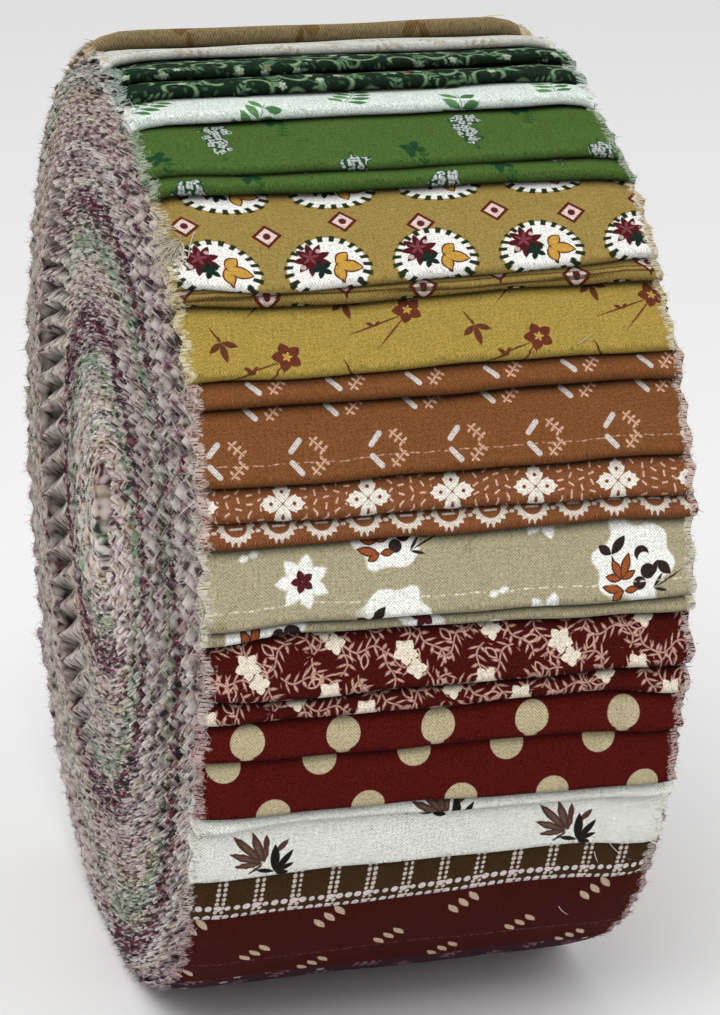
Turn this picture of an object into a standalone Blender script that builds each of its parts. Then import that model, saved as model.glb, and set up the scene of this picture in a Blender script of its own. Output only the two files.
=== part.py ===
"""Fabric strip roll: forty folded cotton strips wound up together, standing on the rim.

The roll's axis runs along X, its front faces -Y, and it stands on Z = 0.
Angles are in degrees round the axis, from the top towards the front.
"""
import math

import bpy

for old in list(bpy.data.objects):
    bpy.data.objects.remove(old, do_unlink=True)

MM = 0.001
DEG = math.pi / 180.0

STRIP_WIDTH = 63.5 * MM
ROLL_RADIUS = 65.0 * MM
AXIS_HEIGHT = 63.6 * MM
SHEET_THICKNESS = 1.0 * MM
SHEET_GAP = 0.3 * MM
LAP_STEP = SHEET_THICKNESS + SHEET_GAP
FOLD_BULGE = 0.12 * MM
FOLD_ARC_STEPS = 4

TOOTH_PITCH = 4.5 * MM
TOOTH_DEPTH = 2.0 * MM

TURN_PITCH = 24.0 * MM
CORE_RADIUS = 3.0 * MM
CORE_BLEND = 7.0 * MM
CORE_DIP = 1.4 * MM
RIM_MARGIN = 2.2 * MM
RIM_BLEND = 6.0 * MM
END_FACE_RECESS = 0.5 * MM

MIN_TUCK = 3.6
MIN_TUCK_STEP = 0.7
SMOOTH_HALF_WINDOW = 8.0
SMOOTH_SAMPLES = 16
COLUMN_STEP = 4.0
FLAT_LAP = 4
BOTTOM = -180.0
FLAT_REACH = 30.0

# Positions along the width where the table gives a fold's angle.
FOLD_X = (-0.5 * STRIP_WIDTH, -19.0 * MM, 19.0 * MM, 0.5 * STRIP_WIDTH)

# One row for each strip, in the order of their folded ends round the rim.
# print: material. left, mid_left, mid_right, right: angle of the folded end at FOLD_X.
STRIP_COLUMNS = ("print", "left", "mid_left", "mid_right", "right")
STRIPS = (
    ("maroon", -215.4, -216.2, -216.0, -214.8),
    ("mauve", -208.2, -207.6, -208.4, -208.8),
    ("mauve", -193.0, -193.4, -192.6, -192.8),
    ("maroon", -166.6, -166.2, -166.6, -167.0),
    ("brown_check", -157.4, -156.8, -157.2, -157.6),
    ("gold", -148.2, -148.6, -147.8, -147.6),
    ("white_motif", -139.0, -138.4, -139.2, -139.6),
    ("white_sprig", -130.6, -130.2, -130.8, -130.4),
    ("plum", -121.8, -122.4, -122.0, -121.4),
    ("plum", -113.0, -112.6, -113.2, -113.8),
    ("rose", -104.8, -104.2, -104.6, -105.0),
    ("rose", -95.8, -96.4, -96.2, -95.6),
    ("sage", -87.2, -86.6, -87.4, -87.0),
    ("sage", -74.4, -74.0, -73.6, -74.2),
    ("oat", -60.0, -60.6, -60.2, -59.5),
    ("oat", -46.2, -45.8, -46.4, -46.8),
    ("tan", -29.2, -28.8, -29.4, -29.6),
    ("tan", -7.2, -7.0, -7.3, -6.2),
    ("white_motif", 3.8, 3.4, 4.8, 3.9),
    ("dark_green", 11.6, 12.0, 11.2, 10.9),
    ("dark_green", 16.8, 17.0, 16.7, 17.3),
    ("white_sprig", 22.8, 22.7, 22.4, 22.3),
    ("green", 31.9, 32.8, 32.8, 32.4),
    ("green", 34.8, 35.5, 35.7, 35.9),
    ("mustard", 47.7, 49.2, 48.0, 47.2),
    ("mustard", 49.6, 50.6, 50.0, 49.8),
    ("gold", 58.7, 58.9, 58.4, 58.6),
    ("rust_ring", 61.5, 61.8, 61.5, 61.5),
    ("rust_ring", 70.1, 70.3, 70.0, 70.2),
    ("rust_scroll", 73.9, 74.1, 74.3, 74.7),
    ("rust_scroll", 76.6, 76.8, 76.8, 77.1),
    ("beige", 85.6, 85.1, 85.7, 85.7),
    ("beige", 87.2, 86.3, 87.2, 87.6),
    ("burgundy", 93.3, 93.6, 93.5, 94.0),
    ("burgundy", 96.0, 96.1, 96.1, 97.2),
    ("brick_dot", 100.9, 100.8, 101.1, 102.2),
    ("brick_dot", 108.2, 107.9, 108.7, 109.4),
    ("cream", 110.4, 109.7, 110.6, 111.3),
    ("cream", 117.8, 117.3, 117.6, 119.0),
    ("brown_check", 125.4, 124.8, 124.2, 125.7),
)
COUNT = len(STRIPS)

# Surface colours of the prints, as linear RGB.
PRINT_COLOURS = {
    "rose": (0.42, 0.26, 0.25),
    "sage": (0.27, 0.31, 0.22),
    "oat": (0.52, 0.45, 0.32),
    "tan": (0.38, 0.28, 0.14),
    "white_motif": (0.80, 0.80, 0.74),
    "dark_green": (0.02, 0.06, 0.04),
    "white_sprig": (0.84, 0.87, 0.82),
    "green": (0.07, 0.20, 0.03),
    "mustard": (0.56, 0.33, 0.06),
    "gold": (0.56, 0.37, 0.04),
    "rust_ring": (0.31, 0.09, 0.02),
    "rust_scroll": (0.33, 0.10, 0.03),
    "beige": (0.60, 0.53, 0.36),
    "burgundy": (0.09, 0.01, 0.01),
    "brick_dot": (0.20, 0.02, 0.01),
    "cream": (0.75, 0.75, 0.68),
    "brown_check": (0.06, 0.03, 0.02),
    "maroon": (0.08, 0.01, 0.01),
    "mauve": (0.33, 0.23, 0.25),
    "plum": (0.10, 0.05, 0.08),
}
ROLL_COLOUR = (0.42, 0.33, 0.31)

# The round ends' relief over one turn: phase 0 is the seam between two turns.
RELIEF_COLUMNS = ("phase", "recess")
RELIEF = (
    (0.0, 2.4 * MM),
    (0.09, 0.9 * MM),
    (0.22, 0.2 * MM),
    (0.5, 0.0),
    (0.78, 0.2 * MM),
    (0.91, 0.9 * MM),
)


def row(index):
    """Return strip number index, which may run past the table's ends, and its whole turns."""
    turns, place = divmod(index - 1, COUNT)
    return dict(zip(STRIP_COLUMNS, STRIPS[place])), 360.0 * turns


def fold_angles(index):
    """Angles of a strip's folded end at the positions FOLD_X."""
    strip, turned = row(index)
    return [strip[column] + turned for column in STRIP_COLUMNS[1:]]


def mean_fold(index):
    angles = fold_angles(index)
    return sum(angles) / len(angles)


def folds_passed(angle):
    """How many folded ends lie below an angle, counted evenly between two of them."""
    turns = math.floor((angle - mean_fold(1)) / 360.0)
    local = angle - 360.0 * turns
    index = 1
    while index < COUNT and mean_fold(index + 1) <= local:
        index += 1
    start = mean_fold(index)
    share = (local - start) / (mean_fold(index + 1) - start)
    return index + share + COUNT * turns


def layer_count(angle):
    """The same count, smoothed, so that the turns below rise evenly."""
    total = 0.0
    for sample in range(SMOOTH_SAMPLES):
        offset = (sample + 0.5) / SMOOTH_SAMPLES * 2.0 - 1.0
        total += folds_passed(angle + offset * SMOOTH_HALF_WINDOW)
    return total / SMOOTH_SAMPLES


def layer_radius(index, angle):
    """Outer radius of a strip's layer at an angle, pressed flat where the roll stands."""
    free = ROLL_RADIUS - LAP_STEP * (index - layer_count(angle))
    turns = round((angle - BOTTOM) / 360.0)
    from_bottom = angle - BOTTOM - 360.0 * turns
    if abs(from_bottom) > FLAT_REACH:
        return free
    pressed = AXIS_HEIGHT / math.cos(from_bottom * DEG)
    return min(free, pressed - LAP_STEP * (index - FLAT_LAP - COUNT * turns))


def place(x, radius, angle):
    return (x, -radius * math.sin(angle * DEG), AXIS_HEIGHT + radius * math.cos(angle * DEG))


def tuck_angles():
    """Angle where each strip end stops below the ones above it."""
    angles = {}
    for index in range(-COUNT, 2 * COUNT + 1):
        below = min(fold_angles(index - 2))
        beside = min(fold_angles(index - 1)) - MIN_TUCK
        angles[index] = min(below, beside)
    for index in range(-COUNT + 1, 2 * COUNT + 1):
        angles[index] = max(angles[index], angles[index - 1] + MIN_TUCK_STEP)
    return angles


TUCKS = tuck_angles()


def add_object(name, vertices, faces, material):
    mesh = bpy.data.meshes.new(name)
    mesh.from_pydata(vertices, [], faces)
    mesh.materials.append(material)
    mesh.update()
    built = bpy.data.objects.new(name, mesh)
    bpy.context.scene.collection.objects.link(built)
    return built


def add_material(name, colour):
    material = bpy.data.materials.new(name)
    material.diffuse_color = (*colour, 1.0)
    return material


def strip_outline(index, fold, x, steps, edge):
    """Points round a strip end's section at one position along the width."""
    start = TUCKS[index] + SHEET_GAP / ROLL_RADIUS / DEG
    bulge = 0.0 if index == FLAT_LAP else FOLD_BULGE
    half = 0.5 * SHEET_THICKNESS + bulge
    last = fold - half / ROLL_RADIUS / DEG
    outer = []
    inner = []
    for step in range(steps + 1):
        share = step / steps
        angle = start + share * (last - start)
        radius = layer_radius(index, angle)
        if step == steps:
            radius += bulge
        tooth = TOOTH_DEPTH if step % 2 else 0.0
        across = x - edge * tooth
        outer.append(place(across, radius, angle))
        inner.append(place(across, layer_radius(index, angle) - SHEET_THICKNESS, angle))
    middle = layer_radius(index, last) - 0.5 * SHEET_THICKNESS + 0.5 * bulge
    height = 0.5 * (SHEET_THICKNESS + bulge)
    nose = []
    for step in range(1, FOLD_ARC_STEPS):
        turn = math.pi * step / FOLD_ARC_STEPS
        angle = last + half / ROLL_RADIUS / DEG * math.sin(turn)
        tooth = TOOTH_DEPTH if steps % 2 else 0.0
        nose.append(place(x - edge * tooth, middle + height * math.cos(turn), angle))
    return outer + nose + inner[::-1]


def build_strip_end(index, material):
    folds = fold_angles(index)
    length = (mean_fold(index) - TUCKS[index]) * DEG * ROLL_RADIUS
    steps = max(4, round(length / (0.5 * TOOTH_PITCH)))
    vertices = []
    for fold, x in zip(folds, FOLD_X):
        edge = 0.0
        if x == FOLD_X[0]:
            edge = -1.0
        if x == FOLD_X[-1]:
            edge = 1.0
        vertices += strip_outline(index, fold, x, steps, edge)
    ring = len(vertices) // len(FOLD_X)
    faces = []
    for column in range(len(FOLD_X) - 1):
        for point in range(ring):
            following = (point + 1) % ring
            near = column * ring
            far = near + ring
            faces.append((near + point, near + following, far + following, far + point))
    last = (len(FOLD_X) - 1) * ring
    for point in range(steps):
        opposite = ring - 1 - point
        faces.append((opposite, opposite - 1, point + 1, point))
        faces.append((last + point, last + point + 1, last + opposite - 1, last + opposite))
    nose = list(range(steps, ring - steps))
    faces.append(tuple(nose[::-1]))
    faces.append(tuple(last + point for point in nose))
    return add_object("strip_end_%02d" % index, vertices, faces, material)


def body_level(angle, side):
    """Index of the body's top layer just before (-1) or after (+1) an angle."""
    level = -COUNT
    for index in range(-COUNT + 1, 2 * COUNT + 1):
        passed = TUCKS[index] < angle + 1e-6 if side > 0 else TUCKS[index] < angle - 1e-6
        if passed:
            level = index
    return level + 1


def faded(value, reach):
    """Rise smoothly from 0 to 1 over a reach."""
    share = min(max(value / reach, 0.0), 1.0)
    return share * share * (3.0 - 2.0 * share)


def spiral_points(angle):
    """Radius and recess of each relief line that crosses one direction of an end face."""
    limit = layer_radius(body_level(angle, 1), angle) - RIM_MARGIN
    lines = []
    wound = layer_count(angle) / COUNT
    turns = int(ROLL_RADIUS / TURN_PITCH) + 2
    for turn in range(-turns, 1):
        for number, values in enumerate(RELIEF):
            relief = dict(zip(RELIEF_COLUMNS, values))
            radius = ROLL_RADIUS + TURN_PITCH * (turn + relief["phase"] + wound)
            if CORE_RADIUS < radius < limit:
                key = turn * len(RELIEF) + number
                inner = faded(radius - CORE_RADIUS, CORE_BLEND)
                outer = faded(limit - radius, RIM_BLEND)
                recess = CORE_DIP + (relief["recess"] - CORE_DIP) * inner
                lines.append((key, radius, recess * outer))
    return lines


def body_columns():
    """Directions of the body's columns: at each tucked end, and between them."""
    first = TUCKS[1]
    steps = [TUCKS[index] for index in range(1, COUNT + 1)] + [first + 360.0]
    columns = []
    for start, end in zip(steps, steps[1:]):
        parts = max(1, math.ceil((end - start) / COLUMN_STEP))
        for part in range(parts):
            columns.append((start + (end - start) * part / parts, part == 0))
    return columns


def fill_between(a, b):
    """Triangles between two columns of one end face, from the core outwards."""
    triangles = []
    i = 0
    j = 0
    while i < len(a) - 1 or j < len(b) - 1:
        take_a = j == len(b) - 1 or (i < len(a) - 1 and a[i + 1][0] <= b[j + 1][0])
        if take_a:
            triangles.append((a[i][1], a[i + 1][1], b[j][1]))
            i += 1
        else:
            triangles.append((a[i][1], b[j + 1][1], b[j][1]))
            j += 1
    return triangles


def build_body(material):
    half = 0.5 * STRIP_WIDTH - END_FACE_RECESS
    vertices = [place(-half + CORE_DIP, 0.0, 0.0), place(half - CORE_DIP, 0.0, 0.0)]
    rim_key = 1000
    keyed = []
    base = TUCKS[1]
    for angle, is_step in body_columns():
        turned = angle - base
        column = {"angle": angle, "sides": []}
        for side in (-1.0, 1.0):
            points = []
            for key, radius, recess in spiral_points(turned + base):
                vertices.append(place(side * (half - recess), radius, angle))
                points.append((key, len(vertices) - 1))
            low = layer_radius(body_level(angle, 1), angle)
            vertices.append(place(side * half, low, angle))
            points.append((rim_key, len(vertices) - 1))
            top = None
            if is_step:
                high = layer_radius(body_level(angle, -1), angle)
                vertices.append(place(side * half, high, angle))
                top = (rim_key + 1, len(vertices) - 1)
            column["sides"].append((points, top))
        keyed.append(column)
    faces = []
    total = len(keyed)
    for number, column in enumerate(keyed):
        following = keyed[(number + 1) % total]
        wrapped = number + 1 == total
        shift = -len(RELIEF) if wrapped else 0
        tops = []
        lows = []
        for side in (0, 1):
            points, _ = column["sides"][side]
            next_points, next_top = following["sides"][side]
            centre = (-1000, side)
            a = [centre] + points
            b = [centre]
            for key, vertex in next_points:
                b.append((key if key == rim_key else key + shift, vertex))
            if next_top:
                b.append(next_top)
            for triangle in fill_between(a, b):
                if len(set(triangle)) == 3:
                    faces.append(triangle if side == 1 else triangle[::-1])
            lows.append(a[-1][1])
            tops.append(b[-1][1])
        faces.append((lows[0], tops[0], tops[1], lows[1]))
        next_low = [following["sides"][side][0][-1][1] for side in (0, 1)]
        if following["sides"][0][1]:
            faces.append((tops[0], next_low[0], next_low[1], tops[1]))
    return add_object("roll_body", vertices, faces, material)


materials = {name: add_material(name, colour) for name, colour in PRINT_COLOURS.items()}
build_body(add_material("wound_turns", ROLL_COLOUR))
for number in range(1, COUNT + 1):
    build_strip_end(number, materials[row(number)[0]["print"]])
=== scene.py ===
"""The looks of the fabric strip roll: forty printed cotton strips, folded in half and wound together.

Lengths are in millimetres here, and meshes are scaled to metres when they are made. Angles are in degrees
round the axis, from the top towards the front, and fall along a strip as it winds inwards.
"""
import math

import bpy
import numpy as np
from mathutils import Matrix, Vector


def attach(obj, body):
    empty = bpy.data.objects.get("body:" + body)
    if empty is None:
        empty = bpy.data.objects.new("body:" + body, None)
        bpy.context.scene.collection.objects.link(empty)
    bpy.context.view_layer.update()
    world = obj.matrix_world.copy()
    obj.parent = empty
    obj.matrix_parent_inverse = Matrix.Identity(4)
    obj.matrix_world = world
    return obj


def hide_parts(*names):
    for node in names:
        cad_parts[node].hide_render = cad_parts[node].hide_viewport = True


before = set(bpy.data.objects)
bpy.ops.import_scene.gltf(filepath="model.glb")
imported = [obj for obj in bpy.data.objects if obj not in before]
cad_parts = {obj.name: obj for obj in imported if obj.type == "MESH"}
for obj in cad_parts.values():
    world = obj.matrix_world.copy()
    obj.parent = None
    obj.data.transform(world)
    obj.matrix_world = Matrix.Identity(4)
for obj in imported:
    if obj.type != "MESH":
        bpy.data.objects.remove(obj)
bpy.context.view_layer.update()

MM = 0.001
DEG = math.pi / 180.0
TURN = 2.0 * math.pi

STRIP_WIDTH = 63.5
HALF_WIDTH = 0.5 * STRIP_WIDTH
ROLL_RADIUS = 65.0
AXIS_HEIGHT = 63.6
# A folded strip takes up one step of radius. Depths within it, like the cloth's thickness, are in steps.
STEP = 0.6
CLOTH = 0.26 / STEP
SECOND_LAYER = 0.5
# The depths of both sides of each layer, printed side first.
LAYERS = ((0.0, CLOTH), (SECOND_LAYER + CLOTH, SECOND_LAYER))
# The roll's weight presses it flat to both sides of its lowest angle.
BOTTOM = -180.0
FLAT_REACH = 30.0
FLAT_LAP = 4

# Teeth of the pinked edges: how deep they are where the cloth shows, where it is wound in, on the front
# and on the ridges, and where the ridges lie.
TOOTH_PITCH = 4.5
TOOTH_DRIFT = 0.0075
TOOTH_OFFSET = 0.035
RAGGED = 0.18
SHOWN_TOOTH = 0.8
WORN_TOOTH = 0.6
FRONT_TOOTH = 1.0
FRONT_ANGLE = 85.0
FRONT_REACH = 75.0
RIDGE_TOOTH = (1.3, 3.5)
RIDGE_ANGLE = -90.0
RIDGE_STRAIGHT = -112.0
RIDGE_REACH = 62.0
RIDGE_RADIUS = 52.6
RIDGE_INNER_RADIUS = 28.6

FOLD_X = np.array((-HALF_WIDTH, -19.0, 19.0, HALF_WIDTH))
FOLD_BLEND = 34.0

# One row for each strip, in the order of their folded ends round the rim: its print, the angles of its
# folded end at FOLD_X, how far the fold stands open, and where its design starts, across and along.
STRIPS = (
    ("maroon", -215.4, -216.2, -216.0, -214.8, 0.35, 0.0, 0.0),
    ("plum", -208.2, -207.6, -208.4, -208.8, 0.30, 0.0, 0.0),
    ("plum", -193.0, -193.4, -192.6, -192.8, 0.30, 4.0, 5.0),
    ("maroon", -166.6, -166.2, -166.6, -167.0, 0.05, 0.0, 7.0),
    ("brown_check", -157.4, -156.8, -157.2, -157.6, 0.30, 0.0, 3.0),
    ("gold", -148.2, -148.6, -147.8, -147.6, 0.40, 2.0, 1.0),
    ("white_motif", -139.0, -138.4, -139.2, -139.6, 0.35, 0.0, 4.0),
    ("white_sprig", -130.6, -130.2, -130.8, -130.4, 0.40, 5.0, 0.0),
    ("mauve", -121.8, -122.4, -122.0, -121.4, 0.35, 0.0, 0.0),
    ("mauve", -113.0, -112.6, -113.2, -113.8, 0.30, 4.0, 3.0),
    ("rose", -104.8, -104.2, -104.6, -105.0, 0.40, 0.0, 0.0),
    ("rose", -95.8, -96.4, -96.2, -95.6, 0.30, 3.0, 2.0),
    ("sage", -87.2, -86.6, -87.4, -87.0, 0.35, 0.0, 0.0),
    ("sage", -74.4, -74.0, -73.6, -74.2, 0.35, 5.0, 4.0),
    ("oat", -60.0, -60.6, -60.2, -59.5, 0.40, 0.0, 0.0),
    ("oat", -46.2, -45.8, -46.4, -46.8, 0.30, 3.0, 5.0),
    ("tan", -29.2, -28.8, -29.4, -29.6, 0.35, 0.0, 0.0),
    ("tan", -7.2, -7.0, -7.3, -6.2, 2.10, 4.0, 3.0),
    ("white_motif", 3.8, 3.4, 4.8, 3.9, 0.50, 2.0, 0.0),
    ("dark_green", 11.6, 12.0, 11.2, 10.9, 0.60, 0.0, 0.0),
    ("dark_green", 16.8, 17.0, 16.7, 17.3, 0.55, 5.0, 2.0),
    ("white_sprig", 22.8, 22.7, 22.4, 22.3, 0.50, 0.0, 0.0),
    ("green", 31.9, 32.8, 32.8, 32.4, 0.45, 0.0, 0.0),
    ("green", 34.8, 35.5, 35.7, 35.9, 0.50, 6.0, 9.0),
    ("mustard", 47.7, 49.2, 48.0, 47.2, 0.50, 0.0, 0.0),
    ("mustard", 49.6, 50.6, 50.0, 49.8, 0.45, 1.4, -5.6),
    ("gold", 58.7, 58.9, 58.4, 58.6, 0.55, 0.0, 0.0),
    ("rust_ring", 61.5, 61.8, 61.5, 61.5, 0.45, -0.3, 6.8),
    ("rust_ring", 70.1, 70.3, 70.0, 70.2, 0.50, 0.0, 0.0),
    ("rust_scroll", 73.9, 74.1, 74.3, 74.7, 0.40, 0.0, 0.0),
    ("rust_scroll", 76.6, 76.8, 76.8, 77.1, 0.45, 0.0, 6.1),
    ("beige", 85.6, 85.1, 85.7, 85.7, 0.50, 0.0, 0.0),
    ("beige", 87.2, 86.3, 87.2, 87.6, 0.40, 16.0, 10.0),
    ("burgundy", 93.3, 93.6, 93.5, 94.0, 0.50, 0.0, 0.0),
    ("burgundy", 96.0, 96.1, 96.1, 97.2, 0.45, 5.0, 4.0),
    ("brick_dot", 100.9, 100.8, 101.1, 102.2, 0.45, 0.0, 0.0),
    ("brick_dot", 108.2, 107.9, 108.7, 109.4, 0.45, 2.7, -4.8),
    ("cream", 110.4, 109.7, 110.6, 111.3, 0.40, -3.0, 9.2),
    ("cream", 117.8, 117.3, 117.6, 119.0, 0.50, 0.0, 0.0),
    ("brown_check", 125.4, 124.8, 124.2, 125.7, 0.45, 0.0, 0.0),
)
COUNT = len(STRIPS)

# How far the strips sit to the right of the middle, by angle.
SHIFTS = (
    (-178.0, 0.5), (-155.0, -0.2), (-129.0, -0.8), (-110.0, -0.5), (-86.0, -0.15), (-60.0, 0.3),
    (-29.0, 1.0), (0.0, 0.9), (17.0, 0.3), (26.0, -0.2), (59.0, 0.6), (69.0, 0.7), (78.0, 0.4),
    (92.0, -0.2), (106.0, -0.8), (122.0, -1.1), (147.0, 0.4), (182.0, 0.5),
)

SMOOTH_HALF_WINDOW = 8.0
SMOOTH_SAMPLES = 16
TURNS_TABLED = 5
SHIFT_FADE = 150.0
WANDER = 0.16
WANDER_KNOTS = 64
STRIP_SEED = 1000
THREAD_SEED = 5000

BASE_RADIUS = COUNT * STEP / TURN
CORE_SQUEEZE = 0.72 * BASE_RADIUS**2
CORE_SQUEEZE_ANGLE = 20.0
SQUEEZE_FADE = (30.0, 50.0)
INNER_END = 0.5
INNER_SPREAD = 0.5
ANGLE_STEP = 0.5

NOSE = 0.5
NOSE_STEPS = 6
BULB = 2.8
BULB_GROWTH = 2.0
BULB_USUAL = 0.6
BELLY = 0.42
# How far, in mm, the painted shadow below each folded end reaches before it fades out.
CREASE_SHADE = 1.7
EDGE_DROP = 1.2
EDGE_FADE = 6.0
SHOULDER = 6.5
VISIBLE_MARGIN = 3.5
# Places across the strip of the points between its edges where it shows, 2.5 mm apart.
INNER_COLUMNS = np.linspace(-29.0, 29.0, 24)
FINE_RADIUS = 15.0

# Yarn ends, where the strip is wound in and where it shows: how close they stand, the spreads of their lean
# along the edge and of their rise, and the least and greatest length and thickness.
BURIED_SPACING = 0.8
BURIED_SPREADS = (0.95, 0.4)
BURIED_LONG = (0.35, 1.15)
BURIED_THICK = (0.045, 0.085)
SHOWN_SPACING = 0.09
SHOWN_SPREADS = (0.75, 0.3)
SHOWN_RISE = 0.06
SHOWN_LONG = (0.35, 1.0)
SHOWN_THICK = (0.035, 0.06)
SHOWN_BEND = 0.28
STEEPEST_LEAN = 1.25
STEEPEST_RISE = 1.2
HAIR_TAPER = 0.6
RIGHT_FRINGE = 0.7
FLOOR_GAP = 0.03
# Long loose threads: the strip and the place across and along it where one starts, how long it is,
# which way it lies and how far it bends.
LOOSE = (
    (40, 23.4, 7.4, 6.0, -60.0, 1.4), (40, 21.8, 5.5, 4.0, -75.0, 0.8), (1, 19.6, 14.6, 3.4, -62.0, 0.5),
    (27, 18.4, 1.2, 2.6, 24.0, 0.3), (25, -26.8, 8.6, 4.6, -118.0, 0.6), (39, 28.6, 1.0, 4.2, -40.0, 0.9),
    (30, -31.2, 3.0, 3.4, 205.0, 0.8), (18, 26.0, 3.0, 5.0, 12.0, 1.0), (22, 29.6, 4.0, 3.2, -20.0, 0.7),
    (14, -12.0, 6.0, 8.0, 35.0, 2.0), (10, 20.0, 4.0, 6.0, 160.0, 1.4), (6, -28.0, 3.0, 5.0, 200.0, 1.2),
)
LOOSE_THICK = 0.09
# A tuft of short threads: its strip, its place across and along it, and how many there are.
TUFT = (25, -29.9, 6.6, 120)
TUFT_THICK = 0.075

# Where yarn starts in the pattern of its colours, so that no two strips or groups are alike.
YARN_STEP = 97.0
EDGE_YARN = 31.0
SHOWN_YARN = 7.0
LOOSE_YARN = 5.0
SHARP_ANGLE = 50.0 * DEG

# Where the darkest yarn lies on the round ends, by angle and radius: a spiral, outwards with growing angle.
DARK_SPIRAL = (
    (-210.0, 19.0), (-180.0, 20.5), (-150.0, 23.5), (-90.0, 28.2), (0.0, 28.0), (60.0, 28.0), (90.0, 29.0),
    (120.0, 28.8), (150.0, 34.0), (180.0, 42.0), (210.0, 46.7), (240.0, 50.0), (270.0, 50.4), (300.0, 48.6),
    (330.0, 45.0), (360.0, 44.5), (405.0, 46.7), (450.0, 48.6), (480.0, 50.4), (510.0, 56.8), (540.0, 62.0),
)
DARK_REACH = 2.3
GREEN_AWAY = -5.4
GREEN_REACH = 2.3
CORE_RADIUS = 24.0

CAMERA_AZIMUTH = -14.337 * DEG
CAMERA_ELEVATION = 16.895 * DEG
CAMERA_DISTANCE = 450.838 * MM
CAMERA_LENS = 113.04
SENSOR_WIDTH = 36.0
AIM_RIGHT = 0.011797
AIM_UP = -0.001068

FLOOR_REACH = 4.0
# Each light's place and size, in metres, and power.
LIGHTS = {"key": ((-0.35, -0.65, 1.0), 0.7, 6.5), "fill": ((0.7, -0.6, 0.35), 0.8, 0.9)}
LIGHT_TARGET = Vector((0.0, 0.0, 0.06))
WORLD_STRENGTH = 0.68

FOLDS = np.array([sum(row[1:5]) / 4.0 for row in STRIPS])
TABLE_NUMBERS = np.arange(1 - TURNS_TABLED * COUNT, 2 * COUNT + 1)
TABLE_FOLDS = FOLDS[(TABLE_NUMBERS - 1) % COUNT] + 360.0 * ((TABLE_NUMBERS - 1) // COUNT)

# The layers wind in as an involute of the core's circle, which keeps the step between turns even.
INVOLUTE_T = np.linspace(0.0, 20.0, 8001)
INVOLUTE_TURNED = INVOLUTE_T - np.arctan(INVOLUTE_T)
RIM_T = math.sqrt((ROLL_RADIUS / BASE_RADIUS) ** 2 - 1.0)
RIM_TURNED = RIM_T - math.atan(RIM_T)


def layer_count(angles):
    """How many folded ends lie below each angle, smoothed along the rim."""
    total = np.zeros_like(angles)
    for sample in range(SMOOTH_SAMPLES):
        offset = ((sample + 0.5) / SMOOTH_SAMPLES * 2.0 - 1.0) * SMOOTH_HALF_WINDOW
        total += np.interp(angles + offset, TABLE_FOLDS, TABLE_NUMBERS)
    return total / SMOOTH_SAMPLES


def turned(number, angles):
    """How far a layer has wound out from the core, in radians."""
    return RIM_TURNED - TURN / COUNT * (number - layer_count(angles))


def layer_radius(number, angles):
    """Radius of a layer at some angles; a fraction in its number is a depth below the strip's outer side."""
    t = np.interp(turned(number, angles), INVOLUTE_TURNED, INVOLUTE_T)
    free = BASE_RADIUS * np.sqrt(1.0 + t * t)
    turns = np.round((angles - BOTTOM) / 360.0)
    from_bottom = np.clip(angles - BOTTOM - 360.0 * turns, -FLAT_REACH, FLAT_REACH)
    pressed = AXIS_HEIGHT / np.cos(from_bottom * DEG) - STEP * (number - FLAT_LAP - COUNT * turns)
    return np.where(np.abs(from_bottom) < FLAT_REACH, np.minimum(free, pressed), free)


def placed(number, angles, lift=0.0, fall=0.0):
    """y and z of a layer at some angles, raised by a lift; fall is 1 where the edges drop."""
    radius = layer_radius(number, angles)
    radius = radius - fall * EDGE_DROP * np.exp((radius - ROLL_RADIUS) / EDGE_FADE) + lift
    point = radius * np.exp(1j * angles * DEG)
    fade = np.clip((SQUEEZE_FADE[1] - radius) / (SQUEEZE_FADE[1] - SQUEEZE_FADE[0]), 0.0, 1.0)
    squeeze = CORE_SQUEEZE * np.exp(2j * CORE_SQUEEZE_ANGLE * DEG)
    point = point + fade * squeeze / point
    return -point.imag, np.maximum(AXIS_HEIGHT + point.real, 0.0)


def shift_at(angles):
    """How far the strips at some angles sit to the right of the middle."""
    local = (np.asarray(angles) - SHIFTS[0][0]) % 360.0 + SHIFTS[0][0]
    return np.interp(local, *zip(*SHIFTS))


def soft_step(value):
    value = np.clip(value, 0.0, 1.0)
    return value * value * (3.0 - 2.0 * value)


def ramp(value, start, run):
    """A soft rise from 0 to 1 over a run from its start."""
    return soft_step((value - start) / run)


def around(angles, middle, reach):
    """1 near one angle of the rim, and 0 past a reach on both sides of it."""
    away = (angles - middle + 180.0) % 360.0 - 180.0
    return np.exp(-((away / reach) ** 4))


def zigzag(phase):
    """0 at a tooth's tip and 1 at its root."""
    return np.abs((phase + 0.5) % 1.0 - 0.5) * 2.0


def shoulder(cloth):
    """How far a place across the strip has come down towards the edge's drop."""
    return np.clip((np.abs(cloth) - HALF_WIDTH + SHOULDER) / SHOULDER, 0.0, 1.0) ** 2.2


def ridged(angles, radii):
    """1 where the teeth of all turns line up as ridges."""
    inside = ramp(radii, RIDGE_INNER_RADIUS, 5.0) * (radii < RIDGE_RADIUS)
    return around(angles, RIDGE_ANGLE, RIDGE_REACH) * inside


def fronted(angles):
    """1 on the front, where the teeth of the wound strips stand clear of each other."""
    return around(angles, FRONT_ANGLE, FRONT_REACH)


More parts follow.
